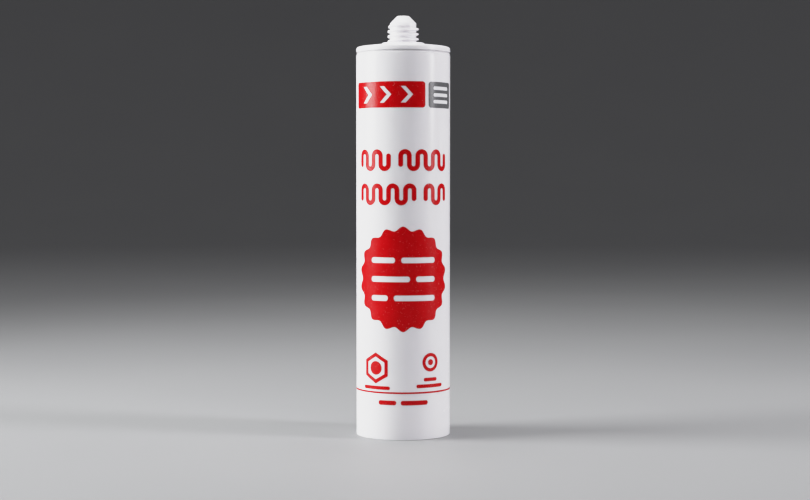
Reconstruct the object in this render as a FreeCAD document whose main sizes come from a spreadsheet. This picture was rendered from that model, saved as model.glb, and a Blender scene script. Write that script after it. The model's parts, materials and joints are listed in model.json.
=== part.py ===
"""A plastic sealant cartridge, as it stands on a shelf with its nozzle thread up.

Three pieces make it: the barrel, one moulding from its open base to the sealed tip of its
threaded neck; the piston, a cup with two sealing lips that closes it from below; and the
sealant between them. Thin ink films on the barrel carry the print, each one field of colour.

The origin is the middle of the open base, +Z runs up the axis and the printed front faces -Y.
Lengths are in millimetres and angles in degrees.
"""

import FreeCAD
import Part
import math
import os
import Sketcher

# Driving dimensions
SIZES = {
    # barrel
    "barrel_diameter": 50.0,
    "barrel_wall": 1.3,
    "shoulder_edge_height": 206.5,
    "shoulder_angle": 7.4,
    "shoulder_wall": 1.8,
    "rim_round": 1.2,
    "seam_drop": 3.0,
    "seam_width": 0.8,
    "seam_depth": 0.5,
    "bead_drop": 4.4,
    "bead_width": 0.6,
    "bead_depth": 0.25,
    "base_round": 0.3,
    "mouth_relief": 0.3,
    "mouth_length": 12.0,
    "mouth_ramp": 1.0,
    "mouth_chamfer": 0.3,
    # neck and thread
    "collar_diameter": 22.8,
    "collar_rise": 0.55,
    "collar_round": 0.2,
    "neck_diameter": 13.9,
    "neck_wall": 1.8,
    "neck_length": 10.6,
    "tip_height": 3.75,
    "tip_diameter": 6.5,
    "tip_wall": 1.3,
    "tip_round": 0.4,
    "thread_diameter": 16.5,
    "thread_pitch": 2.65,
    "thread_turns": 3.85,
    "thread_root_width": 1.8,
    "thread_crest_width": 0.7,
    "thread_start_drop": 0.45,
    "thread_sink": 0.4,
    "thread_fade": 2.6,
    "thread_margin": 0.2,
    # piston
    "piston_height": 19.0,
    "piston_skirt": 1.3,
    "piston_face": 1.8,
    "lip_clearance": 0.05,
    "lip_width": 2.2,
    "lip_chamfer": 0.5,
    "waist_relief": 0.75,
    "hub_diameter": 14.0,
    "hub_wall": 1.4,
    "rib_count": 8,
    "rib_thickness": 1.2,
    "rib_depth": 3.0,
    # sealant
    "fill_length": 158.0,
    "paste_clearance": 0.1,
    "paste_face_gap": 0.3,
    # print
    "ink_thickness": 0.05,
    "ink_gap": 0.02,
    "header_height": 180.5,
    "header_width": 64.0,
    "header_shift": 1.0,
    "header_tall": 13.6,
    "header_corner": 1.6,
    "header_gap": 2.0,
    "grey_panel_width": 19.0,
    "chevron_tall": 8.6,
    "chevron_stroke": 2.6,
    "chevron_depth": 4.0,
    "chevron_pitch": 11.5,
    "grey_bar_width": 12.6,
    "grey_bar_tall": 1.8,
    "grey_bar_pitch": 3.5,
    "title_upper_height": 146.4,
    "title_lower_height": 128.6,
    "title_tall": 11.4,
    "title_stroke": 2.5,
    "title_pitch": 4.5,
    "title_gap": 4.0,
    "badge_height": 84.35,
    "badge_radius": 26.45,
    "badge_wave": 1.1,
    "badge_lobes": 18,
    "badge_row_pitch": 9.9,
    "badge_row_width": 36.0,
    "badge_bar_tall": 3.0,
    "badge_bar_gap": 3.2,
    "mark_offset": 15.3,
    "hexagon_rise": 12.8,
    "hexagon_radius": 8.2,
    "hexagon_stroke": 2.2,
    "hexagon_dot": 3.6,
    "ring_rise": 15.8,
    "ring_radius": 4.9,
    "ring_stroke": 1.8,
    "ring_dot": 1.6,
    "caption_rise": 3.4,
    "caption_pitch": 3.4,
    "caption_width": 16.5,
    "caption_tall": 1.9,
    "rule_height": 24.8,
    "rule_tall": 0.9,
    "footer_drop": 5.2,
    "footer_width": 27.0,
    "footer_tall": 2.4,
    "footer_gap": 2.4,
}

# Upright strokes in the two beads of each title row
TITLE_UPPER_COUNTS = (5, 7)
TITLE_LOWER_COUNTS = (8, 4)
# Share of each badge row that its first bar takes, from the top row down
BADGE_FIRST_SHARES = (0.42, 0.66, 0.3)
FOOTER_FIRST_SHARE = 0.4
# Distance of a Bezier handle from its end, in radii, for a quarter turn
QUARTER_HANDLE = 0.5523

doc = FreeCAD.newDocument("cartridge")
sheet = doc.addObject("Spreadsheet::Sheet", "Sizes")
for row, (alias, value) in enumerate(SIZES.items(), start=1):
    sheet.set(f"A{row}", alias)
    sheet.set(f"B{row}", str(value))
    sheet.setAlias(f"B{row}", alias)
doc.recompute()


def size(alias):
    """The value of one driving dimension."""
    return float(sheet.get(alias))


# Radii and heights that follow from the driving dimensions, as expressions
OUTER = "(Sizes.barrel_diameter / 2)"
BORE = f"({OUTER} - Sizes.barrel_wall)"
MOUTH = f"({BORE} + Sizes.mouth_relief)"
COLLAR = "(Sizes.collar_diameter / 2)"
NECK = "(Sizes.neck_diameter / 2)"
NECK_BORE = f"({NECK} - Sizes.neck_wall)"
THREAD = "(Sizes.thread_diameter / 2)"
TIP = "(Sizes.tip_diameter / 2)"
EDGE = "Sizes.shoulder_edge_height"


def shoulder(radius):
    """Height of the shoulder's outer cone at a radius."""
    return f"({EDGE} + ({OUTER} - {radius}) * tan(Sizes.shoulder_angle))"


def ceiling(radius):
    """Height of the shoulder's inner cone at a radius, one wall below the outer cone."""
    return f"({shoulder(radius)} - Sizes.shoulder_wall / cos(Sizes.shoulder_angle))"


COLLAR_TOP = f"({shoulder(COLLAR)} + Sizes.collar_rise)"
TIP_BASE = f"({COLLAR_TOP} + Sizes.neck_length)"
TOP = f"({TIP_BASE} + Sizes.tip_height)"
TIP_INNER_TOP = f"({TOP} - Sizes.tip_wall)"
# The tip's inner cone has the slope of its outer cone and stops one wall short of the top
TIP_SLOPE = f"(({NECK} - {TIP}) / Sizes.tip_height)"
TIP_INNER = f"({NECK_BORE} - (Sizes.tip_height - Sizes.tip_wall) * {TIP_SLOPE})"
SEAL = f"({BORE} - Sizes.lip_clearance)"
WAIST = f"({SEAL} - Sizes.waist_relief)"
SKIRT = f"({WAIST} - Sizes.piston_skirt)"
HUB = "(Sizes.hub_diameter / 2)"
HUB_BORE = f"({HUB} - Sizes.hub_wall)"
# The piston's face lies one fill below the edge where the bore meets the shoulder
PISTON_TOP = f"({ceiling(BORE)} - Sizes.fill_length)"
PISTON_WEB = f"({PISTON_TOP} - Sizes.piston_face)"
PISTON_REAR = f"({PISTON_TOP} - Sizes.piston_height)"
RIB_END = f"({PISTON_WEB} - Sizes.rib_depth)"


def new_body(name):
    """An empty body whose label is its node's name."""
    body = doc.addObject("PartDesign::Body", name)
    body.Label = name
    return body


def section(body, name, corners):
    """A sketch on the body's XZ plane: a closed outline through corners.

    Each corner is a radius and a height, both expressions in the driving dimensions.
    """
    sketch = body.newObject("Sketcher::SketchObject", name)
    plane = next(item for item in body.Origin.OriginFeatures if item.Role == "XZ_Plane")
    sketch.AttachmentSupport = [(plane, "")]
    sketch.MapMode = "FlatFace"
    points = []
    for radius, height in corners:
        points.append(
            FreeCAD.Vector(sketch.evalExpression(radius), sketch.evalExpression(height), 0)
        )
    count = len(points)
    for index in range(count):
        sketch.addGeometry(Part.LineSegment(points[index], points[(index + 1) % count]), False)
    for index in range(count):
        sketch.addConstraint(Sketcher.Constraint("Coincident", index, 2, (index + 1) % count, 1))
    for index, (radius, height) in enumerate(corners):
        for kind, axis, expression in (("DistanceX", -2, radius), ("DistanceY", -1, height)):
            if expression == "0":
                sketch.addConstraint(Sketcher.Constraint("PointOnObject", index, 1, axis))
                continue
            value = points[index].x if kind == "DistanceX" else points[index].y
            limit = Sketcher.Constraint(kind, -1, 1, index, 1, value)
            number = sketch.addConstraint(limit)
            sketch.setExpression(f"Constraints[{number}]", expression)
    doc.recompute()
    return sketch


def turned(body, name, corners):
    """The outline through corners, turned once round the axis."""
    sketch = section(body, name + "_section", corners)
    turn = body.newObject("PartDesign::Revolution", name)
    turn.Profile = sketch
    turn.ReferenceAxis = (sketch, ["V_Axis"])
    turn.Angle = 360.0
    doc.recompute()
    return turn


def circle_edges(shape, places):
    """Names of the edges that are full circles at the given radii and heights."""
    names = []
    for number, edge in enumerate(shape.Edges, start=1):
        box = edge.BoundBox
        if box.ZLength > 1e-4 or not edge.isClosed():
            continue
        for radius, height in places:
            if abs(box.XLength / 2 - radius) < 1e-3 and abs(box.ZMin - height) < 1e-3:
                names.append(f"Edge{number}")
    return names


def rounded(body, name, base, places, alias):
    """Rounds the circular edges at places, each a radius and a height as expressions."""
    wanted = [(base.evalExpression(radius), base.evalExpression(height)) for radius, height in places]
    fillet = body.newObject("PartDesign::Fillet", name)
    fillet.Base = (base, circle_edges(base.Shape, wanted))
    fillet.Radius = size(alias)
    fillet.setExpression("Radius", f"Sizes.{alias}")
    doc.recompute()
    return fillet


def make_barrel():
    """The barrel: tube, shoulder, collar, threaded neck and sealed tip in one wall."""
    body = new_body("cartridge_barrel")
    seam = f"({EDGE} - Sizes.seam_drop)"
    bead = f"({EDGE} - Sizes.bead_drop)"
    wall = turned(body, "wall", [
        # outside, from the tip down to the base
        ("0", TOP),
        (TIP, TOP),
        (NECK, TIP_BASE),
        (NECK, COLLAR_TOP),
        (COLLAR, COLLAR_TOP),
        (COLLAR, shoulder(COLLAR)),
        (OUTER, EDGE),
        # the groove under the rim and the fine line below its bead
        (OUTER, f"{seam} + Sizes.seam_width / 2"),
        (f"{OUTER} - Sizes.seam_depth", f"{seam} + Sizes.seam_width / 6"),
        (f"{OUTER} - Sizes.seam_depth", f"{seam} - Sizes.seam_width / 6"),
        (OUTER, f"{seam} - Sizes.seam_width / 2"),
        (OUTER, f"{bead} + Sizes.bead_width / 2"),
        (f"{OUTER} - Sizes.bead_depth", bead),
        (OUTER, f"{bead} - Sizes.bead_width / 2"),
        (OUTER, "0"),
        # inside, from the mouth up to the tip
        (f"{MOUTH} + Sizes.mouth_chamfer", "0"),
        (MOUTH, "Sizes.mouth_chamfer"),
        (MOUTH, "Sizes.mouth_length"),
        (BORE, "Sizes.mouth_length + Sizes.mouth_ramp"),
        (BORE, ceiling(BORE)),
        (NECK_BORE, ceiling(NECK_BORE)),
        (NECK_BORE, TIP_BASE),
        (TIP_INNER, TIP_INNER_TOP),
        ("0", TIP_INNER_TOP),
    ])
    rim = rounded(body, "rim_edge", wall, [(OUTER, EDGE)], "rim_round")
    base = rounded(body, "base_edge", rim, [(OUTER, "0")], "base_round")
    tip = rounded(body, "tip_edge", base, [(TIP, TOP)], "tip_round")
    collar = rounded(body, "collar_edge", tip, [(COLLAR, COLLAR_TOP)], "collar_round")

    start = f"({COLLAR_TOP} - Sizes.thread_start_drop)"
    ridge = section(body, "thread_section", [
        (f"{NECK} - Sizes.thread_sink", f"{start} - Sizes.thread_root_width / 2"),
        (NECK, f"{start} - Sizes.thread_root_width / 2"),
        (THREAD, f"{start} - Sizes.thread_crest_width / 2"),
        (THREAD, f"{start} + Sizes.thread_crest_width / 2"),
        (NECK, f"{start} + Sizes.thread_root_width / 2"),
        (f"{NECK} - Sizes.thread_sink", f"{start} + Sizes.thread_root_width / 2"),
    ])
    thread = body.newObject("PartDesign::AdditiveHelix", "thread")
    thread.Profile = ridge
    thread.ReferenceAxis = (ridge, ["V_Axis"])
    thread.Mode = "pitch-turns-angle"
    thread.Pitch = size("thread_pitch")
    thread.setExpression("Pitch", "Sizes.thread_pitch")
    thread.Turns = size("thread_turns")
    thread.setExpression("Turns", "Sizes.thread_turns")
    thread.LeftHanded = False
    doc.recompute()

    # A cone trims the thread towards the tip, so that it runs out
    reach = f"({THREAD} + Sizes.thread_sink)"
    trim = section(body, "fade_section", [
        (THREAD, f"{TIP_BASE} - Sizes.thread_fade"),
        (reach, f"{TIP_BASE} - Sizes.thread_fade"),
        (reach, f"{TIP_BASE} + Sizes.thread_margin"),
        (NECK, f"{TIP_BASE} + Sizes.thread_margin"),
    ])
    fade = body.newObject("PartDesign::Groove", "thread_fade")
    fade.Profile = trim
    fade.ReferenceAxis = (trim, ["V_Axis"])
    fade.Angle = 360.0
    doc.recompute()
    if not collar.Shape.Volume < fade.Shape.Volume < thread.Shape.Volume:
        raise RuntimeError("the thread or its run-out is missing")
    body.Tip = fade
    return body


def make_piston():
    """The piston: a flat face, a skirt with two sealing lips, and a ribbed hub behind."""
    body = new_body("piston")
    cup = turned(body, "cup", [
        ("0", PISTON_TOP),
        (f"{SEAL} - Sizes.lip_chamfer", PISTON_TOP),
        (SEAL, f"{PISTON_TOP} - Sizes.lip_chamfer"),
        (SEAL, f"{PISTON_TOP} - Sizes.lip_width"),
        (WAIST, f"{PISTON_TOP} - Sizes.lip_width - Sizes.waist_relief"),
        (WAIST, f"{PISTON_REAR} + Sizes.lip_width + Sizes.waist_relief"),
        (SEAL, f"{PISTON_REAR} + Sizes.lip_width"),
        (SEAL, f"{PISTON_REAR} + Sizes.lip_chamfer"),
        (f"{SEAL} - Sizes.lip_chamfer", PISTON_REAR),
        (SKIRT, PISTON_REAR),
        (SKIRT, PISTON_WEB),
        (HUB, PISTON_WEB),
        (HUB, RIB_END),
        (HUB_BORE, RIB_END),
        (HUB_BORE, PISTON_WEB),
        ("0", PISTON_WEB),
    ])
    # Each rib ends inside the walls that it joins, half of each wall deep
    inner = f"({HUB} - Sizes.hub_wall / 2)"
    outer = f"({SKIRT} + Sizes.piston_skirt / 2)"
    profile = section(body, "rib_section", [
        (inner, RIB_END),
        (outer, RIB_END),
        (outer, f"{PISTON_WEB} + Sizes.piston_face / 2"),
        (inner, f"{PISTON_WEB} + Sizes.piston_face / 2"),
    ])
    rib = body.newObject("PartDesign::Pad", "rib")
    rib.Profile = profile
    rib.Midplane = True
    rib.Length = size("rib_thickness")
    rib.setExpression("Length", "Sizes.rib_thickness")
    doc.recompute()
    ribs = body.newObject("PartDesign::PolarPattern", "ribs")
    ribs.Originals = [rib]
    ribs.Axis = (profile, ["V_Axis"])
    ribs.Angle = 360.0
    ribs.Occurrences = int(size("rib_count"))
    ribs.setExpression("Occurrences", "Sizes.rib_count")
    body.Tip = ribs
    doc.recompute()
    if not cup.Shape.Volume < rib.Shape.Volume < ribs.Shape.Volume:
        raise RuntimeError("the piston's ribs are missing")
    return body


def make_sealant():
    """The sealant: it fills the barrel from the piston's face to the tip of the neck."""
    body = new_body("sealant")
    gap = "Sizes.paste_clearance"
    turned(body, "charge", [
        ("0", f"{PISTON_TOP} + Sizes.paste_face_gap"),
        (f"{BORE} - {gap}", f"{PISTON_TOP} + Sizes.paste_face_gap"),
        (f"{BORE} - {gap}", f"{ceiling(BORE)} - {gap}"),
        (f"{NECK_BORE} - {gap}", f"{ceiling(NECK_BORE)} - {gap}"),
        (f"{NECK_BORE} - {gap}", f"{TIP_BASE} - {gap}"),
        (f"{TIP_INNER} - {gap}", f"{TIP_INNER_TOP} - {gap}"),
        ("0", f"{TIP_INNER_TOP} - {gap}"),
    ])
    return body


def make_rule():
    """The printed rule that runs right round the barrel."""
    body = new_body("print_rule")
    low = "Sizes.rule_height - Sizes.rule_tall / 2"
    high = "Sizes.rule_height + Sizes.rule_tall / 2"
    inner = f"({OUTER} + Sizes.ink_gap)"
    turned(body, "rule", [
        (inner, low),
        (f"{inner} + Sizes.ink_thickness", low),
        (f"{inner} + Sizes.ink_thickness", high),
        (inner, high),
    ])
    return body


# The print is drawn flat and wrapped on the barrel: a point's place is its distance along the
# barrel's surface from the middle of the front, and its height. Outlines run anticlockwise.
# A hair of a gap keeps the films' inner faces off the barrel's own.
SURFACE = Part.Cylinder()
SURFACE.Radius = size("barrel_diameter") / 2 + size("ink_gap")


def on_barrel(point):
    """A flat point as the angle and height of its place on the barrel's surface."""
    along, height = point
    return FreeCAD.Base.Vector2d(1.5 * math.pi + along / SURFACE.Radius, height)


def line(start, end):
    """One straight stretch of an outline."""
    return Part.Geom2d.Line2dSegment(on_barrel(start), on_barrel(end)).toShape(SURFACE)


def curve(start, leave, arrive, end):
    """One curved stretch of an outline, as a Bezier curve with its two handles."""
    bezier = Part.Geom2d.BezierCurve2d()
    bezier.setPoles([on_barrel(point) for point in (start, leave, arrive, end)])
    return bezier.toShape(SURFACE)


def around(centre, radius, degrees):
    """The point of a circle at an angle."""
    angle = math.radians(degrees)
    return centre[0] + radius * math.cos(angle), centre[1] + radius * math.sin(angle)


def arc(centre, radius, start, quarters):
    """Quarter turns of a circle from an angle, clockwise where quarters is negative."""
    edges = []
    step = math.copysign(90, quarters)
    for index in range(abs(quarters)):
        first = start + step * index
        last = first + step
        ends = around(centre, radius, first), around(centre, radius, last)
        reach = math.copysign(QUARTER_HANDLE * radius, quarters)
        leave = around(ends[0], reach, first + 90)
        arrive = around(ends[1], -reach, last + 90)
        edges.append(curve(ends[0], leave, arrive, ends[1]))
    return edges


def polygon(points):
    """Straight stretches from point to point and back to the first."""
    return [line(point, points[(index + 1) % len(points)]) for index, point in enumerate(points)]


def bar(middle, width, tall, corner):
    """A rectangle with rounded corners."""
    left = middle[0] - width / 2 + corner
    right = middle[0] + width / 2 - corner
    low = middle[1] - tall / 2 + corner
    high = middle[1] + tall / 2 - corner
    edges = [line((left, low - corner), (right, low - corner))]
    edges += arc((right, low), corner, -90, 1)
    edges.append(line((right + corner, low), (right + corner, high)))
    edges += arc((right, high), corner, 0, 1)
    edges.append(line((right, high + corner), (left, high + corner)))
    edges += arc((left, high), corner, 90, 1)
    edges.append(line((left - corner, high), (left - corner, low)))
    edges += arc((left, low), corner, 180, 1)
    return edges


def pill(middle, width, tall):
    """A bar whose corners are nearly as round as its height allows."""
    return bar(middle, width, tall, 0.45 * tall)


def winding_bead(left, middle_height, strokes):
    """A bead laid up and down: upright strokes joined by half turns, with round ends."""
    half = size("title_stroke") / 2
    turn = size("title_pitch") / 2
    straight = (size("title_tall") - 2 * turn - 2 * half) / 2
    low = middle_height - straight
    high = middle_height + straight
    edges = []
    # out along the right of each stroke, then back along its left
    for side, order in ((1, range(strokes)), (-1, range(strokes - 1, -1, -1))):
        for index in order:
            rises = index % 2 == 0
            going_up = rises if side == 1 else not rises
            middle = left + half + 2 * turn * index
            away = half if going_up else -half
            ends = (low, high) if going_up else (high, low)
            edges.append(line((middle + away, ends[0]), (middle + away, ends[1])))
            last = order[-1] == index
            if last:
                start = 0 if going_up else 180
                edges += arc((middle, ends[1]), half, start, 2)
                continue
            # the next stroke lies ahead on the way out and behind on the way back
            centre = middle + side * turn, ends[1]
            clockwise = going_up == (side == 1)
            radius = turn - half if clockwise else turn + half
            start = 180 if side == 1 else 0
            edges += arc(centre, radius, start, -2 if clockwise else 2)
    return edges


def scalloped_disc(middle):
    """The badge's edge: a circle whose radius swings once for each lobe, one lobe on top."""
    radius = size("badge_radius")
    wave = size("badge_wave")
    lobes = int(size("badge_lobes"))

    def place(angle):
        reach = radius + wave * math.cos(lobes * angle)
        return middle[0] - reach * math.sin(angle), middle[1] + reach * math.cos(angle)

    def handle(angle, length):
        """A point that lies along the tangent, as far as the curve goes in length radians."""
        reach = radius + wave * math.cos(lobes * angle)
        growth = -wave * lobes * math.sin(lobes * angle)
        start = place(angle)
        across = -growth * math.sin(angle) - reach * math.cos(angle)
        up = growth * math.cos(angle) - reach * math.sin(angle)
        return start[0] + length * across, start[1] + length * up

    # four stretches to a lobe keep each Bezier curve close to the wave
    step = math.pi / (2 * lobes)
    edges = []
    for index in range(4 * lobes):
        first = index * step
        last = first + step
        edges.append(curve(place(first), handle(first, step / 3), handle(last, -step / 3), place(last)))
    return edges


def film(outline, thickness):
    """The solid that stands on the barrel inside an outline."""
    patch = Part.Face(SURFACE, Part.Wire(outline))
    if not patch.isValid():
        raise RuntimeError("a print outline doesn't close")
    return patch.makeOffsetShape(thickness, 1e-5, fill=True)


def inked(outline, holes=()):
    """An ink film with bare places in it."""
    solid = film(outline, size("ink_thickness"))
    for hole in holes:
        solid = solid.cut(film(hole, 2 * size("ink_thickness")))
    return solid


def printed(name, films):
    """A print node: the films that one motif needs."""
    node = doc.addObject("Part::Feature", name)
    node.Label = name
    solids = [solid for shape in films for solid in shape.Solids]
    node.Shape = solids[0] if len(solids) == 1 else Part.makeCompound(solids)
    node.Placement = FreeCAD.Placement()
    return node


def split_row(middle, width, tall, gap, first_share):
    """Two pills side by side, the first with its share of what the gap leaves."""
    room = width - gap
    first = room * first_share
    second = room - first
    left = middle[0] - width / 2
    return [
        pill((left + first / 2, middle[1]), first, tall),
        pill((left + first + gap + second / 2, middle[1]), second, tall),
    ]


def make_header():
    """Two panels near the top: a long red one with chevrons and a short grey one with bars."""
    height = size("header_height")
    tall = size("header_tall")
    corner = size("header_corner")
    grey = size("grey_panel_width")
    red = size("header_width") - size("header_gap") - grey
    right = size("header_width") / 2 + size("header_shift")
    grey_middle = right - grey / 2
    red_middle = right - grey - size("header_gap") - red / 2

    up = size("chevron_tall") / 2
    stroke = size("chevron_stroke")
    depth = size("chevron_depth")
    chevrons = []
    for place in (-1, 0, 1):
        left = red_middle + place * size("chevron_pitch") - (stroke + depth) / 2
        chevrons.append(polygon([
            (left, height - up),
            (left + stroke, height - up),
            (left + stroke + depth, height),
            (left + stroke, height + up),
            (left, height + up),
            (left + depth, height),
        ]))
    bars = []
    for place in (-1, 0, 1):
        middle = grey_middle, height + place * size("grey_bar_pitch")
        bars.append(pill(middle, size("grey_bar_width"), size("grey_bar_tall")))
    return [
        printed("print_header_red", [inked(bar((red_middle, height), red, tall, corner), chevrons)]),
        printed("print_header_grey", [inked(bar((grey_middle, height), grey, tall, corner), bars)]),
    ]


def make_title():
    """Two rows of red winding beads, two beads to a row."""
    films = []
    rows = (
        (size("title_upper_height"), TITLE_UPPER_COUNTS),
        (size("title_lower_height"), TITLE_LOWER_COUNTS),
    )
    for height, beads in rows:
        widths = [(strokes - 1) * size("title_pitch") + size("title_stroke") for strokes in beads]
        left = -(sum(widths) + size("title_gap")) / 2
        for strokes, width in zip(beads, widths):
            films.append(inked(winding_bead(left, height, strokes)))
            left += width + size("title_gap")
    return [printed("print_title", films)]


def make_badge():
    """The round scalloped badge, with bare bars in three rows."""
    middle = (0, size("badge_height"))
    holes = []
    for row, share in enumerate(BADGE_FIRST_SHARES):
        height = middle[1] + (1 - row) * size("badge_row_pitch")
        holes += split_row(
            (middle[0], height),
            size("badge_row_width"),
            size("badge_bar_tall"),
            size("badge_bar_gap"),
            share,
        )
    return [printed("print_badge", [inked(scalloped_disc(middle), holes)])]


def make_marks():
    """The small marks low on the front: a hexagon at the left, a ring at the right."""
    rule = size("rule_height")
    left = (-size("mark_offset"), rule + size("hexagon_rise"))
    right = (size("mark_offset"), rule + size("ring_rise"))
    outside = size("hexagon_radius")
    inside = outside - size("hexagon_stroke")
    hexagon = inked(
        polygon([around(left, outside, 60 * (corner + 0.5)) for corner in range(6)]),
        [polygon([around(left, inside, 60 * (corner + 0.5)) for corner in range(6)])],
    )
    ring = inked(
        arc(right, size("ring_radius"), 0, 4),
        [arc(right, size("ring_radius") - size("ring_stroke"), 0, 4)],
    )
    dots = [
        inked(arc(left, size("hexagon_dot"), 0, 4)),
        inked(arc(right, size("ring_dot"), 0, 4)),
    ]
    width = size("caption_width")
    tall = size("caption_tall")
    low = rule + size("caption_rise")
    high = low + size("caption_pitch")
    captions = [
        inked(pill((left[0], low - tall / 2), width, tall)),
        inked(pill((right[0], low), width, tall)),
        inked(pill((right[0], high), width / 2, tall)),
    ]
    return [printed("print_marks", [hexagon, ring] + dots + captions)]


def make_footer():
    """A short row of bars below the rule."""
    row = split_row(
        (0, size("rule_height") - size("footer_drop")),
        size("footer_width"),
        size("footer_tall"),
        size("footer_gap"),
        FOOTER_FIRST_SHARE,
    )
    return [printed("print_footer", [inked(outline) for outline in row])]


nodes = [make_barrel(), make_piston(), make_sealant(), make_rule()]
nodes += make_header() + make_title() + make_badge() + make_marks() + make_footer()
doc.recompute()

for item in doc.Objects:
    if "Invalid" in item.State or "Error" in item.State:
        raise RuntimeError(f"{item.Label} failed: {item.State}")
for node in nodes:
    if node.Shape.isNull() or not node.Shape.isValid():
        raise RuntimeError(f"{node.Label} has no valid shape")

os.makedirs("parts", exist_ok=True)
for node in nodes:
    node.Shape.exportStep(f"parts/{node.Label}.step")
    box = node.Shape.BoundBox
    print(f"{node.Label}: {len(node.Shape.Solids)} solids, {node.Shape.Volume:.1f} mm3, "
          f"x {box.XMin:.2f} to {box.XMax:.2f}, z {box.ZMin:.2f} to {box.ZMax:.2f}")
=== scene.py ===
# %% [markdown]
# # A sealant cartridge
#
# The real thing is a white polyethylene tube, 50 mm across and 223 mm tall, with a coned
# shoulder and a threaded neck on top, red and dark grey ink on its front, and an open base that
# a ribbed piston closes. The imported model gives the sizes; this script gives the finish.
#
# First the imported model is loaded. Nothing added here may reach past it.

# %% Load the imported model
import json
import math

import bpy
import numpy as np
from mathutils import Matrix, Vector


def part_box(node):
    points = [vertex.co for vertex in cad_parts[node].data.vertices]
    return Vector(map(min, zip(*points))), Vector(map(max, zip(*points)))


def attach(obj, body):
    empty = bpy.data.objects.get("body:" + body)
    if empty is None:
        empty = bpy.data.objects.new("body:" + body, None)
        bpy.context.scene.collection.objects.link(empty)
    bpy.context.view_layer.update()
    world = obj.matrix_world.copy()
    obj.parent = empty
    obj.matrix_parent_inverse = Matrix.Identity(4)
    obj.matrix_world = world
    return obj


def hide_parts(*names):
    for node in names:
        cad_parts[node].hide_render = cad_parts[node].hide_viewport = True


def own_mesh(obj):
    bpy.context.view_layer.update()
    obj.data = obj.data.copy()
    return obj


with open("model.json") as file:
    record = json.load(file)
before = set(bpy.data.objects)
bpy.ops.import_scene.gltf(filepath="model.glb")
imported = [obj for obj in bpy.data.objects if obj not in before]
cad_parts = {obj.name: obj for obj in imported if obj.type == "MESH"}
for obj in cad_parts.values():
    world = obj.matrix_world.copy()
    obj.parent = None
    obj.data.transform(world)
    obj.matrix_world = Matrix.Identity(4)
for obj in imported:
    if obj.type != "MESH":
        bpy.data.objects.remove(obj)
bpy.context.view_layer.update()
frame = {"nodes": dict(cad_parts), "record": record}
nodes = frame["nodes"]

# %% [markdown]
# ## Sizes
#
# Blender works in metres, and a maker thinks of this part in millimetres, so sizes are written
# in millimetres and multiplied by `MM` once, when a mesh is made. The radius of the tube comes
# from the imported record, and the heights of the tip, the piston and the sealant from the boxes
# of their solids. The rest repeats the construction's own dimensions.

# %% Sizes in millimetres
MM = 0.001
mounts = {mount["name"]: mount for mount in frame["record"]["mounts"]}
BODY_RADIUS = mounts["barrel_body"]["dims"]["r_mm"]
MOUTH_RADIUS = mounts["rear_mouth"]["dims"]["r_mm"]
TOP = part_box("cartridge_barrel")[1].z / MM
WALL = 1.3
BORE_RADIUS = BODY_RADIUS - WALL
SHOULDER_EDGE = 206.5
SHOULDER_ANGLE = math.radians(7.4)
SHOULDER_WALL = 1.8
SHOULDER_SLOPE = math.tan(SHOULDER_ANGLE)
SHOULDER_DROP = SHOULDER_WALL / math.cos(SHOULDER_ANGLE)
RIM_ROUND = 1.2
BASE_ROUND = 0.3
COLLAR_RADIUS = 11.4
COLLAR_STEP = 0.55
NECK_RADIUS = 6.95
NECK_WALL = 1.8
NECK_BORE = NECK_RADIUS - NECK_WALL
TIP_RADIUS = 3.25
TIP_HEIGHT = 3.75
TIP_WALL = 1.3
THREAD_RADIUS = 8.25
THREAD_PITCH = 2.65
THREAD_TURNS = 3.85
THREAD_ROOT_WIDTH = 1.8
THREAD_CREST_WIDTH = 0.7
THREAD_START_DROP = 0.45
THREAD_FADE = 2.6
THREAD_MARGIN = 0.2
MOUTH_LENGTH = 12.0
MOUTH_RAMP = 1.0
MOUTH_CHAMFER = 0.3


def shoulder_height(radius):
    """Height of the shoulder's outer cone: it rises by the slope from the rim inwards."""
    return SHOULDER_EDGE + (BODY_RADIUS - radius) * SHOULDER_SLOPE


COLLAR_TOP = shoulder_height(COLLAR_RADIUS) + COLLAR_STEP
TIP_BASE = TOP - TIP_HEIGHT
THREAD_START = COLLAR_TOP - THREAD_START_DROP
print(f"collar top {COLLAR_TOP:.2f} mm, tip base {TIP_BASE:.2f} mm, top {TOP:.2f} mm")

# %% [markdown]
# ## Surfaces as arrays
#
# A turned part is a profile carried round an axis. Blender's Spin tool or a Screw modifier
# would do it by hand, but here the whole surface is one grid of points that numpy works out at
# once: one direction of the grid follows the profile, the other goes round. That leaves room
# for a thread, which is the same grid with its radius pushed out along a helix.

# %% Make a mesh from a grid of points
def mesh_piece(name, points, faces, sharp_degrees=40):
    """A mesh object from points in millimetres, smooth but for edges sharper than an angle."""
    mesh = bpy.data.meshes.new(name)
    mesh.from_pydata((points * MM).tolist(), [], faces)
    mesh.polygons.foreach_set("use_smooth", np.ones(len(mesh.polygons), dtype=bool))
    mesh.set_sharp_from_angle(angle=math.radians(sharp_degrees))
    mesh.update()
    piece = bpy.data.objects.new(name, mesh)
    bpy.context.scene.collection.objects.link(piece)
    print(f"{name}: {len(mesh.vertices)} points, {len(mesh.polygons)} faces")
    return piece


def even_angles(columns):
    """Angles of evenly spaced columns round the axis, in radians."""
    return np.arange(columns) * 2 * np.pi / columns


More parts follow.
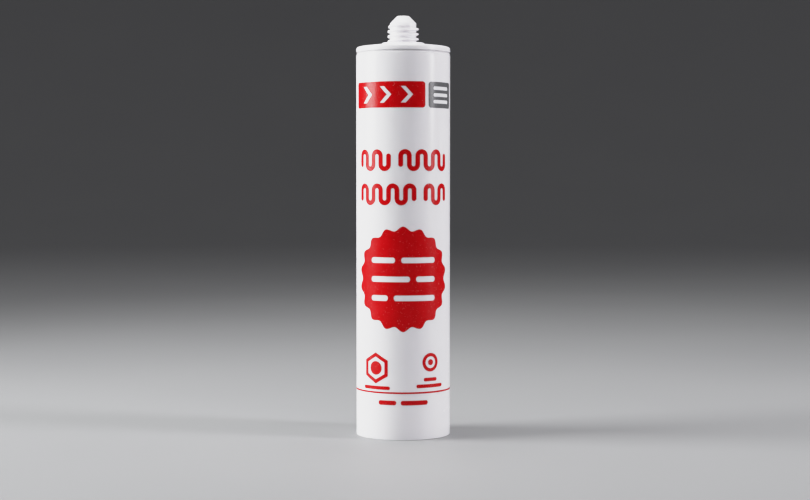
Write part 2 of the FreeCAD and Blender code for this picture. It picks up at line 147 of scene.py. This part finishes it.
def lathe(name, radius, height, angle):
    """A turned surface from grids of radius, height and angle, with its poles closed.

    The grids have a row for each profile point and a column for each step round the axis, and a
    point is (r cos a, r sin a, z). A face joins a point to its neighbour round the ring and to
    the next row, so a profile that runs up faces outwards, and one that runs down faces the
    axis. A row on the axis is one point, and the faces that touch it are triangles.
    """
    rows, columns = radius.shape
    points = np.stack([radius * np.cos(angle), radius * np.sin(angle), height], axis=-1)
    number = np.arange(rows * columns).reshape(rows, columns)
    on_axis = radius.max(axis=1) < 1e-9
    number[on_axis] = number[on_axis, :1]
    after = np.roll(number, -1, axis=1)
    squares = np.stack([number[:-1], after[:-1], after[1:], number[1:]], axis=-1)
    whole = ~(on_axis[:-1] | on_axis[1:])
    used = np.zeros(rows * columns, dtype=bool)
    used[number] = True
    place = np.cumsum(used) - 1
    faces = place[squares[whole].reshape(-1, 4)].tolist()
    faces += place[squares[on_axis[:-1]][..., [0, 2, 3]].reshape(-1, 3)].tolist()
    faces += place[squares[on_axis[1:]][..., [0, 1, 2]].reshape(-1, 3)].tolist()
    return mesh_piece(name, points.reshape(-1, 3)[used], faces)


def turned(name, profile, columns):
    """A plain turned piece: the same profile at every angle."""
    radius = np.repeat(profile[:, :1], columns, axis=1)
    height = np.repeat(profile[:, 1:], columns, axis=1)
    return lathe(name, radius, height, even_angles(columns))


# %% [markdown]
# ## A profile with soft corners
#
# A mould leaves no sharp corner: every edge has a small radius, and it is those radii that
# catch the light. The profile is a list of corners, each with its radius, and the function
# below swaps each corner for an arc.

# %% Round the corners of a profile
def softened(corners, steps=7):
    """The corners of an open profile with arcs put in.

    For a corner of radius r where the path turns by the angle t, the arc starts and ends
    r * tan(t / 2) from the corner, but never further than 0.49 of the shorter side. Its points
    are the start and end directions mixed by sines, which keeps them on one circle.
    """
    places = np.array([corner[:2] for corner in corners], float)
    pieces = [places[:1]]
    for index in range(1, len(corners) - 1):
        before, place, after = places[index - 1], places[index], places[index + 1]
        back, on = before - place, after - place
        reach = min(np.linalg.norm(back), np.linalg.norm(on)) * 0.49
        back, on = back / np.linalg.norm(back), on / np.linalg.norm(on)
        half_turn = (np.pi - np.arccos(np.clip(back @ on, -1, 1))) / 2
        radius = corners[index][2]
        cut = min(radius * np.tan(half_turn), reach)
        if cut < 1e-4:
            pieces.append(place[None])
            continue
        radius = cut / np.tan(half_turn)
        centre = place + (back + on) / np.linalg.norm(back + on) * radius / np.cos(half_turn)
        start, end = place + back * cut - centre, place + on * cut - centre
        share = np.linspace(0, 1, steps)[:, None]
        turn = 2 * half_turn
        arc = (np.sin((1 - share) * turn) * start + np.sin(share * turn) * end) / np.sin(turn)
        pieces.append(centre + arc)
    pieces.append(places[-1:])
    return np.concatenate(pieces)


def stretched_rows(profile, longest):
    """The profile with points added, so that no stretch of it is longer than a length."""
    lengths = np.linalg.norm(np.diff(profile, axis=0), axis=1)
    parts = np.maximum(1, np.ceil(lengths / longest)).astype(int)
    pieces = [
        np.linspace(start, end, count, endpoint=False)
        for start, end, count in zip(profile[:-1], profile[1:], parts)
    ]
    return np.concatenate(pieces + [profile[-1:]])


# %% [markdown]
# ## The barrel
#
# Tube, shoulder, neck and tip are one injection moulding, so they are one surface here too. It
# starts on the axis inside the tip, runs down the inside to the open mouth, round the base, up
# the outside, over the neck and back to the axis on top of the tip. The tip's top has the small
# dimple that the moulding gate leaves.
#
# The two grooves under the rim are in the profile: at this scale they must catch a real shadow,
# which a bump map would not give at the outline. The upper one is the deep seam. The ring
# between them leans inwards towards it, so that its face takes the light from above and shows
# as the bright line under the seam, and the lower groove is a fine one.

# %% The barrel's profile
SEAM_DROP = 3.0
SEAM_DEPTH = 0.5
RING_LEAN = 0.32
LINE_DROP = 4.4
LINE_DEPTH = 0.22
seam_height = SHOULDER_EDGE - SEAM_DROP
seam_floor = BODY_RADIUS - SEAM_DEPTH
line_height = SHOULDER_EDGE - LINE_DROP
outside_below_neck = softened([
    (MOUTH_RADIUS + MOUTH_CHAMFER, 0, 0),
    (BODY_RADIUS, 0, BASE_ROUND),
    (BODY_RADIUS, line_height - 0.24, 0.3),
    (BODY_RADIUS - LINE_DEPTH, line_height, 0.08),
    (BODY_RADIUS, line_height + 0.2, 0.2),
    (BODY_RADIUS - RING_LEAN, seam_height - 0.34, 0.25),
    (seam_floor, seam_height - 0.13, 0.06),
    (seam_floor, seam_height + 0.13, 0.06),
    (BODY_RADIUS, seam_height + 0.4, 0.12),
    (BODY_RADIUS, SHOULDER_EDGE, RIM_ROUND),
    (COLLAR_RADIUS, shoulder_height(COLLAR_RADIUS), 0.25),
    (COLLAR_RADIUS, COLLAR_TOP, 0.2),
    (NECK_RADIUS, COLLAR_TOP, 0),
])
GATE_RADIUS = 1.0
GATE_DEPTH = 0.12
tip_outside = softened([
    (NECK_RADIUS, TIP_BASE, 0),
    (NECK_RADIUS - 0.1, TIP_BASE + 0.1, 0.1),
    (TIP_RADIUS, TOP, 0.45),
    (GATE_RADIUS + 0.1, TOP, 0.1),
    (GATE_RADIUS - 0.1, TOP - GATE_DEPTH, 0.1),
    (0, TOP - GATE_DEPTH, 0),
])
tip_inner_top = TOP - TIP_WALL
tip_inner_radius = NECK_BORE - (TIP_HEIGHT - TIP_WALL) * (NECK_RADIUS - TIP_RADIUS) / TIP_HEIGHT
inside = softened([
    (0, tip_inner_top, 0),
    (tip_inner_radius, tip_inner_top, 0.3),
    (NECK_BORE, TIP_BASE, 0.5),
    (NECK_BORE, shoulder_height(NECK_BORE) - SHOULDER_DROP, 0.6),
    (BORE_RADIUS, shoulder_height(BORE_RADIUS) - SHOULDER_DROP, 0.15),
    (BORE_RADIUS, MOUTH_LENGTH + MOUTH_RAMP, 1.0),
    (MOUTH_RADIUS, MOUTH_LENGTH, 1.0),
    (MOUTH_RADIUS, MOUTH_CHAMFER, 0.1),
    (MOUTH_RADIUS + MOUTH_CHAMFER, 0, 0),
])
NECK_ROW = 0.085
neck_heights = np.arange(COLLAR_TOP + NECK_ROW, TIP_BASE, NECK_ROW)
neck_outside = np.column_stack([np.full_like(neck_heights, NECK_RADIUS), neck_heights])
below = stretched_rows(np.concatenate([inside[:-1], outside_below_neck]), 6.0)
barrel_profile = np.concatenate([below, neck_outside, tip_outside])
print("profile points:", len(barrel_profile), "of them on the neck:", len(neck_outside))

# %% [markdown]
# ## The thread
#
# A thread is a ridge that climbs by one pitch in each turn. At the angle `a` its crest has the
# heights `start + pitch * (a / 360 + k)`, one for each whole turn `k`. A point's distance to
# the nearest of those heights says how far it lies up the ridge's flank. The ridge comes out of
# the collar, ends before the fourth turn is whole, and fades towards the tip.

# %% Push the neck out along a helix
THREAD_END = 0.06


def thread_radius(angle, height):
    """Outside radius of the neck at each angle, in radians, and height, in millimetres.

    It is the root radius plus the thread's depth times a flank profile: 1 on the crest's
    width, 0 past the root's width, and an S-shaped step between. The step s * s * (3 - 2 * s)
    is mixed with s itself, so that the flank stays straight and only its ends are round. The
    same step takes the ridge down to nothing over its last THREAD_END of a turn.
    """
    turn = angle / (2 * np.pi)
    whole = np.clip(np.round((height - THREAD_START) / THREAD_PITCH - turn), 0, None)
    distance = np.abs(height - THREAD_START - THREAD_PITCH * (turn + whole))
    flank = (THREAD_ROOT_WIDTH - THREAD_CREST_WIDTH) / 2
    share = np.clip((THREAD_ROOT_WIDTH / 2 - distance) / flank, 0, 1)
    shape = 0.45 * share + 0.55 * share * share * (3 - 2 * share)
    left = np.clip((THREAD_TURNS - turn - whole) / THREAD_END, 0, 1)
    ridge = (THREAD_RADIUS - NECK_RADIUS) * shape * left * left * (3 - 2 * left)
    fade_start = TIP_BASE - THREAD_FADE
    fade = (height - fade_start) / (TIP_BASE + THREAD_MARGIN - fade_start)
    limit = (THREAD_RADIUS - NECK_RADIUS) * np.clip(1 - fade, 0, 1)
    return NECK_RADIUS + np.minimum(ridge, limit)


BARREL_COLUMNS = 264
angles = even_angles(BARREL_COLUMNS)
radius = np.repeat(barrel_profile[:, :1], BARREL_COLUMNS, axis=1)
height = np.repeat(barrel_profile[:, 1:], BARREL_COLUMNS, axis=1)
first_neck = len(below)
neck_rows = slice(first_neck, first_neck + len(neck_outside))
radius[neck_rows] = thread_radius(angles[None, :], height[neck_rows])

# The collar's flat top meets the thread where the thread rises out of it
root = thread_radius(angles, np.full_like(angles, COLLAR_TOP))
on_top = np.flatnonzero((np.abs(below[:, 1] - COLLAR_TOP) < 1e-6) & (below[:, 0] > NECK_BORE))
share = (COLLAR_RADIUS - below[on_top, 0]) / (COLLAR_RADIUS - NECK_RADIUS)
radius[on_top] = COLLAR_RADIUS - share[:, None] * (COLLAR_RADIUS - root[None, :])
print(f"thread stands {radius[neck_rows].max() - NECK_RADIUS:.2f} mm out of the neck")

# %% Make the barrel
barrel = lathe("barrel_shell", radius, height, angles)
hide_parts("cartridge_barrel")
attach(barrel, "cartridge")

# %% [markdown]
# ## The piston
#
# A gun's ram pushes the piston up the barrel. It is a thin cup with a sealing lip at each end,
# and on the side that the ram meets it has a hub and eight ribs. Ribs could be boxes joined to
# the cup with booleans, but moulded ribs run into the walls with small rounds. So the piston is
# one turned surface whose columns follow the ribs' sides: a column at the distance `d` from a
# rib's middle plane has the angle `asin(d / r)`, which keeps the rib's sides parallel. Across a
# rib, the profile is pulled from the bay between the ribs down to the rib's straight crest. Two
# short lists set that: `side` has the columns' distances in millimetres, and `pull` says how far
# each is pulled, from 1 on the crest to 0 in the bay. Their close steps in the middle make the
# rib's side, and the small ones at its ends its rounds.

# %% The piston's profile
PISTON_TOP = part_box("piston")[1].z / MM
PISTON_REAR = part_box("piston")[0].z / MM
FACE_WALL = 1.8
RIB_DEPTH = 3.0
LIP_CLEARANCE = 0.05
LIP_WIDTH = 2.2
LIP_CHAMFER = 0.5
WAIST_RELIEF = 0.75
SKIRT_WALL = 1.3
HUB_RADIUS = 7.0
HUB_BORE = 5.6
PISTON_WEB = PISTON_TOP - FACE_WALL
RIB_CREST = PISTON_WEB - RIB_DEPTH
SEAL_RADIUS = BORE_RADIUS - LIP_CLEARANCE
WAIST_RADIUS = SEAL_RADIUS - WAIST_RELIEF
SKIRT_RADIUS = WAIST_RADIUS - SKIRT_WALL
PIP_DEPTH = 0.35

hub_side = softened([
    (0, PISTON_WEB - PIP_DEPTH, 0),
    (1.0, PISTON_WEB - PIP_DEPTH, 0.12),
    (1.15, PISTON_WEB, 0.1),
    (HUB_BORE, PISTON_WEB, 0.5),
    (HUB_BORE, RIB_CREST, 0.15),
    (HUB_RADIUS, RIB_CREST, 0),
])
bay_side = softened([
    (HUB_RADIUS, RIB_CREST, 0),
    (HUB_RADIUS, PISTON_WEB, 0.5),
    (SKIRT_RADIUS, PISTON_WEB, 0.6),
    (SKIRT_RADIUS, RIB_CREST, 0),
])
cup_side = softened([
    (SKIRT_RADIUS, RIB_CREST, 0),
    (SKIRT_RADIUS, PISTON_REAR, 0.3),
    (SEAL_RADIUS - LIP_CHAMFER, PISTON_REAR, 0.15),
    (SEAL_RADIUS, PISTON_REAR + LIP_CHAMFER, 0.3),
    (SEAL_RADIUS, PISTON_REAR + LIP_WIDTH, 0.3),
    (WAIST_RADIUS, PISTON_REAR + LIP_WIDTH + WAIST_RELIEF, 0.4),
    (WAIST_RADIUS, PISTON_TOP - LIP_WIDTH - WAIST_RELIEF, 0.4),
    (SEAL_RADIUS, PISTON_TOP - LIP_WIDTH, 0.3),
    (SEAL_RADIUS, PISTON_TOP - LIP_CHAMFER, 0.3),
    (SEAL_RADIUS - LIP_CHAMFER, PISTON_TOP, 0.15),
    (0, PISTON_TOP, 0),
])
LONGEST_STEP = 1.6
hub_side, bay_side, cup_side = [
    stretched_rows(profile, LONGEST_STEP) for profile in (hub_side, bay_side, cup_side)
]
piston_profile = np.concatenate([hub_side[:-1], bay_side[:-1], cup_side])
bay_rows = slice(len(hub_side) - 1, len(hub_side) + len(bay_side) - 1)
print("piston rows:", len(piston_profile), "of them in the bays:", len(bay_side))

# %% Pull the ribs out of the bays
RIBS = 8
BAY_COLUMNS = 10
side = np.array([0.42, 0.54, 0.60, 0.66, 0.74, 0.90])
pull = np.array([1.0, 0.985, 0.94, 0.06, 0.015, 0.0])
lateral = np.concatenate([-side[::-1], side])
rib_pull = np.concatenate([pull[::-1], pull])

run = np.concatenate([[0], np.cumsum(np.linalg.norm(np.diff(bay_side, axis=0), axis=1))])
crest = piston_profile.copy()
crest[bay_rows, 0] = HUB_RADIUS + run / run[-1] * (SKIRT_RADIUS - HUB_RADIUS)
crest[bay_rows, 1] = RIB_CREST
to_crest = (crest - piston_profile)[:, None, :]
across = piston_profile[:, None, :] + rib_pull[None, :, None] * to_crest
rib_angle = np.arcsin(lateral / np.clip(across[..., 0], HUB_RADIUS, SKIRT_RADIUS))

sector = 2 * np.pi / RIBS
share = np.arange(1, BAY_COLUMNS + 1) / (BAY_COLUMNS + 1)
bay_angle = rib_angle[:, -1:] + (sector - 2 * rib_angle[:, -1:]) * share
between = np.repeat(piston_profile[:, None, :], BAY_COLUMNS, axis=1)
one_sector = np.concatenate([across, between], axis=1)
one_angle = np.concatenate([rib_angle, bay_angle], axis=1)
piston_points = np.tile(one_sector, (1, RIBS, 1))
turns = np.repeat(np.arange(RIBS) * sector, one_angle.shape[1])
piston_angle = np.tile(one_angle, (1, RIBS)) + turns
piston_shell = lathe("piston_cup", piston_points[..., 0], piston_points[..., 1], piston_angle)
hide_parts("piston")
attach(piston_shell, "piston")

# %% [markdown]
# ## The sealant
#
# The paste fills the barrel, and nobody sees it until the tip is cut. It is a turned solid that
# stands a small gap inside the barrel's walls.

# %% Make the sealant
PASTE_GAP = 0.1
paste_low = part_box("sealant")[0].z / MM
shoulder_inner_edge = shoulder_height(BORE_RADIUS) - SHOULDER_DROP
neck_inner_edge = shoulder_height(NECK_BORE) - SHOULDER_DROP
paste_profile = softened([
    (0, paste_low, 0),
    (BORE_RADIUS - PASTE_GAP, paste_low, 0.4),
    (BORE_RADIUS - PASTE_GAP, shoulder_inner_edge - PASTE_GAP, 0.4),
    (NECK_BORE - PASTE_GAP, neck_inner_edge - PASTE_GAP, 0.7),
    (NECK_BORE - PASTE_GAP, TIP_BASE - PASTE_GAP, 0.5),
    (tip_inner_radius - PASTE_GAP, tip_inner_top - PASTE_GAP, 0.4),
    (0, tip_inner_top - PASTE_GAP, 0),
])
paste = turned("sealant_paste", stretched_rows(paste_profile, 8.0), 96)
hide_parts("sealant")
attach(paste, "cartridge")
shoulder_inner_edge * MM
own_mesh(paste)

# %% [markdown]
# ## Shader sums
#
# A finish is a sum of patterns. In the node editor each plus sign is a node of its own, which
# soon hides the idea, so a small class lets Python write the sum: `0.3 + 0.05 * mottle` adds
# the Math nodes and links them. Any other node comes from one method, which makes its settings
# first and then fills its sockets. Lengths in a pattern are in millimetres, as on the drawing.

# %% A class for shader sums
class Wire:
    """An output socket that takes part in sums."""

    def __init__(self, finish, socket):
        self.finish = finish
        self.socket = socket

    def __add__(self, other):
        return self.finish.sum("ADD", self, other)

    def __radd__(self, other):
        return self.finish.sum("ADD", other, self)

    def __sub__(self, other):
        return self.finish.sum("SUBTRACT", self, other)

    def __rsub__(self, other):
        return self.finish.sum("SUBTRACT", other, self)

    def __mul__(self, other):
        return self.finish.sum("MULTIPLY", self, other)

    def __rmul__(self, other):
        return self.finish.sum("MULTIPLY", other, self)


class Finish:
    """A material under construction."""

    def __init__(self, name):
        self.material = bpy.data.materials.new(name)
        self.material.use_nodes = True
        self.tree = self.material.node_tree
        self.tree.nodes.clear()

    def node(self, kind, settings, sockets, output=0):
        """Adds a node, makes its settings, fills its sockets and returns one of its outputs."""
        made = self.tree.nodes.new(kind)
        for name, value in settings.items():
            setattr(made, name, value)
        for name, value in sockets.items():
            if isinstance(value, Wire):
                self.tree.links.new(value.socket, made.inputs[name])
            else:
                made.inputs[name].default_value = value
        return Wire(self, made.outputs[output]) if made.outputs else None

    def sum(self, operation, first, second):
        """A Math node on two values or wires."""
        return self.node("ShaderNodeMath", {"operation": operation}, {0: first, 1: second})

    def place(self, x=1.0, y=1.0, z=1.0):
        """Object coordinates in millimetres. A factor under 1 draws a pattern out on its axis."""
        coordinates = self.node("ShaderNodeTexCoord", {}, {}, output="Object")
        sockets = {0: coordinates, 1: (x / MM, y / MM, z / MM)}
        return self.node("ShaderNodeVectorMath", {"operation": "MULTIPLY"}, sockets)

    def length(self, place):
        """How far a place lies from the origin, in millimetres."""
        settings = {"operation": "LENGTH"}
        return self.node("ShaderNodeVectorMath", settings, {0: place}, output="Value")

    def distance(self, place, height):
        """How far a place lies above or below a height, in millimetres."""
        split = self.node("ShaderNodeSeparateXYZ", {}, {"Vector": place}, output="Z")
        return self.node("ShaderNodeMath", {"operation": "ABSOLUTE"}, {0: split - height})

    def noise(self, place, size, detail=2.0):
        """Cloudy noise around 0, whose blobs are about as wide as a size in millimetres."""
        sockets = {"Vector": place, "Scale": 1 / size, "Detail": detail}
        return self.node("ShaderNodeTexNoise", {}, sockets) - 0.5

    def step(self, value, low, high):
        """0 where a value is under low, 1 where it is over high, and a smooth step between."""
        sockets = {"Value": value, "From Min": low, "From Max": high}
        return self.node("ShaderNodeMapRange", {"interpolation_type": "SMOOTHSTEP"}, sockets)

    def blend(self, share, first, second):
        """A colour that goes from the first to the second as the share goes from 0 to 1."""
        sockets = {0: share, 6: first, 7: second}
        return self.node("ShaderNodeMix", {"data_type": "RGBA"}, sockets, output=2)

    def bump(self, height, depth):
        """A normal tilted by a height pattern, where 1 stands for a depth in millimetres."""
        return self.node("ShaderNodeBump", {}, {"Height": height, "Distance": depth * MM})

    def plastic(self, sockets):
        """Closes the material with the Principled shader and returns the material."""
        surface = self.node("ShaderNodeBsdfPrincipled", {}, sockets)
        self.node("ShaderNodeOutputMaterial", {}, {"Surface": surface})
        return self.material


def dress(piece, material):
    """Puts a material in every slot of a piece."""
    if not piece.material_slots:
        piece.data.materials.append(material)
    for slot in piece.material_slots:
        slot.material = material
    print(f"{piece.name}: {material.name}")


# %% [markdown]
# ## White polyethylene
#
# The barrel's plastic is a satin white. It isn't even: the melt leaves cloudy patches of gloss,
# and the core pin that draws out of the tube leaves faint lines along it. The surface has the
# fine peel of an eroded mould, and the pack has been handled, so a few short scuffs run round
# it. Noise gives each of these. The lines come from a noise that is drawn out along the height,
# and the scuffs from one that is drawn out across it and cut off high, so few are left. Painted
# shade darkens the groove under the rim: the only outside surface there whose distance to the
# axis is under the tube's radius. Some of the light goes into the plastic before it comes back,
# which softens the threads.

# %% The barrel's finish
white = Finish("satin_white_polyethylene")
clouds = white.noise(white.place(), 16, detail=3)
peel = white.noise(white.place(), 0.55, detail=3)
draw_lines = white.noise(white.place(z=0.012), 0.9, detail=2)
scuff_noise = white.noise(white.place(x=0.22, y=0.22), 1.1, detail=2)
scuffs = white.step(scuff_noise, 0.17, 0.24)
relief = peel + 0.5 * draw_lines - 0.6 * scuffs
from_axis = white.length(white.place(z=0.0))
from_seam = white.distance(white.place(), seam_height)
deep = white.step(from_axis, BODY_RADIUS - 0.05, BODY_RADIUS - 0.3)
# Painted shade: the seam groove's colour is darkened towards grey to stand for the shade that falls
# in it.
painted_seam_shade = deep * white.step(from_seam, 0.5, 0.4)
clean = white.blend(0.5 + 1.2 * clouds, (0.82, 0.807, 0.84, 1), (0.855, 0.842, 0.87, 1))
white_plastic = white.plastic({
    "Base Color": white.blend(0.45 * painted_seam_shade, clean, (0.30, 0.29, 0.30, 1)),
    "Roughness": 0.23 + 0.09 * clouds + 0.05 * peel + 0.14 * scuffs,
    "Normal": white.bump(relief, 0.006),
    "Specular IOR Level": 0.22,
    "Subsurface Weight": 0.4,
    "Subsurface Radius": (1.0, 0.95, 0.9),
    "Subsurface Scale": 0.003,
})
dress(barrel, white_plastic)

# %% [markdown]
# ## The piston's plastic and the paste
#
# The piston is a cheaper moulding in the same kind of plastic, without pigment on show: duller,
# slightly warm, with flow marks that run outwards from its middle. The paste is a smooth filled
# emulsion, glossy where it is wet, with small lumps.

# %% The piston's and the paste's finishes
dull = Finish("dull_moulded_polyethylene")
flow = dull.noise(dull.place(z=0.3), 5.0, detail=4)
grain = dull.noise(dull.place(), 0.4, detail=2)
piston_plastic = dull.plastic({
    "Base Color": dull.blend(0.5 + 1.4 * flow, (0.69, 0.69, 0.665, 1), (0.77, 0.765, 0.74, 1)),
    "Roughness": 0.45 + 0.16 * flow + 0.08 * grain,
    "Normal": dull.bump(grain + 1.5 * flow, 0.012),
    "IOR": 1.5,
    "Subsurface Weight": 0.15,
    "Subsurface Scale": 0.0015,
})
dress(piston_shell, piston_plastic)

wet = Finish("white_paste")
lumps = wet.noise(wet.place(), 2.4, detail=4)
paste_finish = wet.plastic({
    "Base Color": wet.blend(0.5 + lumps, (0.80, 0.80, 0.78, 1), (0.88, 0.88, 0.87, 1)),
    "Roughness": 0.24 + 0.2 * lumps,
    "Normal": wet.bump(lumps, 0.25),
})
dress(paste, paste_finish)

# %% [markdown]
# ## Printed ink
#
# The print is a film of ink that stands a few hundredths of a millimetre off the plastic. A
# screen lays it on, and two things give it away up close: the mesh leaves an even, very fine
# weave of dots, and the ink settles into slightly thicker and thinner patches, where it is darker
# and glossier or lets the white through. A fine noise makes the weave.
# The print's solids come from the imported model and keep their shape, so only their material
# changes.

# %% The inks' finishes
def ink(name, thin, thick):
    """An ink film: a colour from thin to thick where it settled, over the dots of a screen."""
    film = Finish(name)
    settled = film.noise(film.place(), 3.2, detail=4)
    specks = film.step(film.noise(film.place(), 0.42, detail=1), 0.235, 0.275)
    weave = film.noise(film.place(), 0.16, detail=0)
    patches = film.blend(0.5 + 1.6 * settled, thick, thin)
    return film.plastic({
        "Base Color": film.blend(0.55 * specks, patches, (0.80, 0.80, 0.81, 1)),
        "Roughness": 0.24 + 0.12 * settled + 0.08 * weave,
        "Normal": film.bump(weave + settled, 0.008),
        "Specular IOR Level": 0.18,
    })


red_ink = ink("red_screen_ink", (0.52, 0.002, 0.005, 1), (0.455, 0.001, 0.002, 1))
grey_ink = ink("grey_screen_ink", (0.125, 0.126, 0.131, 1), (0.098, 0.099, 0.104, 1))
for name in sorted(nodes):
    if name.startswith("print_"):
        dress(nodes[name], grey_ink if name == "print_header_grey" else red_ink)

# %% [markdown]
# ## The studio
#
# The object stands in a pale bowl: a flat floor that curves up all round, so that no view has an
# edge or a horizon in it. It is a turned surface too, with the wall's arc first and the flat
# floor last, which makes it face inwards. Its material is clear from behind, so a camera under
# the floor still sees the object's open base, and the round opening that the base covers lets
# light up into the barrel for that view.

# %% The floor
FLOOR_FLAT = 2600.0
FLOOR_CURVE = 2200.0
wall = np.linspace(np.pi / 2, 0, 24)
floor_profile = np.concatenate([
    np.column_stack([FLOOR_FLAT + FLOOR_CURVE * np.sin(wall), FLOOR_CURVE * (1 - np.cos(wall))]),
    np.array([[1200.0, 0.0], [400.0, 0.0], [BODY_RADIUS - 0.4, 0.0]]),
])
floor = turned("studio_floor", floor_profile, 96)

matt = Finish("matt_floor")
stain = matt.noise(matt.place(), 240, detail=3)
painted = matt.node("ShaderNodeBsdfPrincipled", {}, {
    "Base Color": matt.blend(0.5 + stain, (0.281, 0.284, 0.289, 1), (0.304, 0.307, 0.310, 1)),
    "Roughness": 0.62 + 0.1 * stain,
})
clear = matt.node("ShaderNodeBsdfTransparent", {}, {})
behind = matt.node("ShaderNodeNewGeometry", {}, {}, output="Backfacing")
surface = matt.node("ShaderNodeMixShader", {}, {0: behind, 1: painted, 2: clear})
matt.node("ShaderNodeOutputMaterial", {}, {"Surface": surface})
dress(floor, matt.material)

# %% [markdown]
# ## Light
#
# Two tall softboxes stand beside the object, the stronger one on the left. Because they are at
# its sides, the tube's front falls off to a pale grey between them, which is what shows that it
# is round, and each leaves an upright streak in the gloss. A grid on them keeps their light on
# the object, so the floor has no bright pool with an edge. A wide light above fills the
# shoulder, and the world adds a little from all round. One more light under the floor reaches
# only the inside of the base.

# %% The lights
def softbox(name, place, aim, size, power, spread=180, colour=(1.0, 1.0, 1.0)):
    """A rectangular light at a place in metres, turned to a point; its spread is in degrees."""
    light = bpy.data.lights.new(name, "AREA")
    light.shape = "RECTANGLE"
    light.size, light.size_y = size
    light.energy = power
    light.spread = math.radians(spread)
    light.color = colour
    stand = bpy.data.objects.new(name, light)
    stand.location = place
    stand.rotation_euler = (Vector(aim) - Vector(place)).to_track_quat("-Z", "Y").to_euler()
    bpy.context.scene.collection.objects.link(stand)
    print(f"{name}: {power} W")


softbox("left_softbox", (-1.10, -0.10, 0.52), (0, 0, 0.16), (0.6, 0.7), 7.9, spread=90)
softbox("right_softbox", (1.07, -0.29, 0.52), (0, 0, 0.16), (0.24, 0.7), 3.1, spread=90,
        colour=(1.0, 0.975, 1.01))
softbox("top_softbox", (0.0, 0.05, 1.4), (0, 0, 0.1), (0.8, 0.8), 13.0)
softbox("low_softbox", (0.0, -0.2, -1.7), (0, 0, 0), (0.8, 0.8), 10.0)

world = bpy.data.worlds.new("studio_air")
world.use_nodes = True
air = world.node_tree.nodes["Background"].inputs
air["Color"].default_value = (0.97, 0.96, 1.0, 1)
air["Strength"].default_value = 0.2
bpy.context.scene.world = world
print(f"world: {air['Strength'].default_value:.2f}")

# %% [markdown]
# ## Tone
#
# A camera doesn't cut its whites off hard: it bends them softly, so that the tube's bright side
# stays just short of pure white and keeps its form, while greys and inks are left as they are.
# Blender's Standard view cuts at 1. A curve in the scene's display settings gives the bend.

# %% A soft shoulder for the whites
BEND_START = 0.5
BEND_TOP = 0.87
BRIGHTEST = 2.5


def bent(light):
    """Light up to BEND_START as it is, and above it room * (1 - exp(-excess / room)) more."""
    room = BEND_TOP - BEND_START
    excess = np.maximum(light - BEND_START, 0)
    return np.minimum(light, BEND_START) + room * (1 - np.exp(-excess / room))


display = bpy.context.scene.view_settings
display.view_transform = "Standard"
display.use_curve_mapping = True
display.curve_mapping.white_level = (BRIGHTEST, BRIGHTEST, BRIGHTEST)
tone_curve = display.curve_mapping.curves[3]
for light in (0.25, 0.5, 0.65, 0.8, 1.0, 1.25, 1.6, 2.0):
    tone_curve.points.new(light / BRIGHTEST, float(bent(light)))
tone_curve.points[-1].location = (1, float(bent(BRIGHTEST)))
display.curve_mapping.update()
print("white at 1 is shown at", round(float(bent(1.0)), 3))

# %% [markdown]
# ## The camera
#
# The camera stands 0.86 m in front of the tube, 23 mm above the middle of its height, and looks
# down by 2.4 degrees. So small a tilt keeps the tube's sides upright, as in a catalogue
# picture, and still shows a little of the shoulder and the curve of the base.

# %% The camera
camera = bpy.data.cameras.new("camera")
camera.sensor_width = 36
camera.lens = 71.62
viewpoint = bpy.data.objects.new("camera", camera)
viewpoint.location = (0.00097, -0.8627, 0.1348)
viewpoint.rotation_euler = (math.radians(90 - 2.40), 0, 0)
bpy.context.scene.collection.objects.link(viewpoint)
bpy.context.scene.camera = viewpoint
print(f"camera above the tube's middle: {viewpoint.location.z / MM - TOP / 2:.1f} mm")
